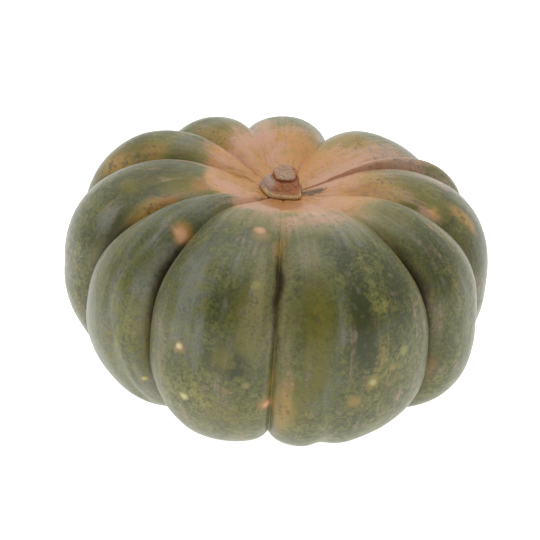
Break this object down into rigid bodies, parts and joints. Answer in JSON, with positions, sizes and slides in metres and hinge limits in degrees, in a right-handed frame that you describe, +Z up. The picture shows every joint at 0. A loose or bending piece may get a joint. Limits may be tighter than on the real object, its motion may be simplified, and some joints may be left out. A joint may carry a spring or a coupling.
{
  "type": "winter squash",
  "caption": "Flattened, deeply ribbed winter squash with a sunken stem hollow and the stub of its stem, standing on the flats of its lowest ribs.",
  "frame": {"origin": "on the surface that the fruit stands on, under the middle of its outline", "axes": "+Z up towards the stem, +X to the right and -Y towards the viewer of the picture"},
  "size_m": [0.2616, 0.2568, 0.1498],
  "materials": {
    "skin": "waxy rind: dark green, ochre and salmon mottling under a pale bloom",
    "stem": "dry corky stalk with a rough cut end"
  },
  "bodies": {
    "root": {"fruit": "skin", "stem": "stem"}
  },
  "joints": []
}
